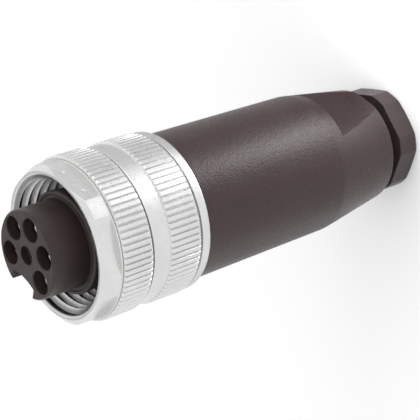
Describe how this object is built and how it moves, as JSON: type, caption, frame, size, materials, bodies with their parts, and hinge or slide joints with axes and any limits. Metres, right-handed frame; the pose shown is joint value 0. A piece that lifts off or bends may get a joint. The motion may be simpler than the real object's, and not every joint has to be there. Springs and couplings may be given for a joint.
{
  "type": "circular cable connector",
  "caption": "Straight circular power connector with a knurled threaded coupling ring, keyed round socket insert, tapered cable housing and hexagonal gland nut.",
  "frame": {"origin": "centre of the gland nut's rear face, on the surface that the connector stands on", "axes": "+Z along the connector's axis to the mating face, +X through the middle socket, keyway on -X"},
  "size_m": [0.0264, 0.0264, 0.075],
  "materials": {
    "housing_plastic": "spark-eroded, matt",
    "carrier_plastic": "fine matt moulding",
    "nut_plastic": "spark-eroded, matt",
    "cage_plastic": "plain moulding",
    "black_rubber": "soft sheen",
    "plated_metal": "satin nickel plate",
    "contact_brass": "gold-plated",
    "screw_steel": "zinc plated"
  },
  "bodies": {
    "connector_body": {"cable_housing": "housing_plastic", "contact_carrier": "carrier_plastic", "socket_contact_1": "contact_brass", "socket_contact_2": "contact_brass", "socket_contact_3": "contact_brass", "socket_contact_4": "contact_brass", "socket_contact_5": "contact_brass", "terminal_screw_1": "screw_steel", "terminal_screw_2": "screw_steel", "terminal_screw_3": "screw_steel", "terminal_screw_4": "screw_steel", "terminal_screw_5": "screw_steel", "interface_seal": "black_rubber", "housing_o_ring": "black_rubber", "cable_seal": "black_rubber"},
    "coupling_ring": {"coupling_ring": "plated_metal"},
    "clamp_stack": {"clamp_cage": "cage_plastic", "thrust_washer": "cage_plastic"},
    "gland_nut": {"gland_nut": "nut_plastic"}
  },
  "joints": [
    {"name": "ring_turn", "type": "hinge", "parent": "connector_body", "child": "coupling_ring", "pos_m": [0, 0, 0.0542], "axis": [0, 0, 1], "continuous": true},
    {"name": "gland_travel", "type": "slide", "parent": "connector_body", "child": "clamp_stack", "axis": [0, 0, 1], "range_m": [-0.004, 0.002], "deforming": ["cable_seal"]},
    {"name": "gland_turn", "type": "hinge", "parent": "clamp_stack", "child": "gland_nut", "pos_m": [0, 0, 0.002], "axis": [0, 0, 1], "range_deg": [-1020, 510]}
  ],
  "couplings": [
    {"joint": "gland_travel", "follows": "gland_turn", "m_per_rad": 0.00022458}
  ]
}
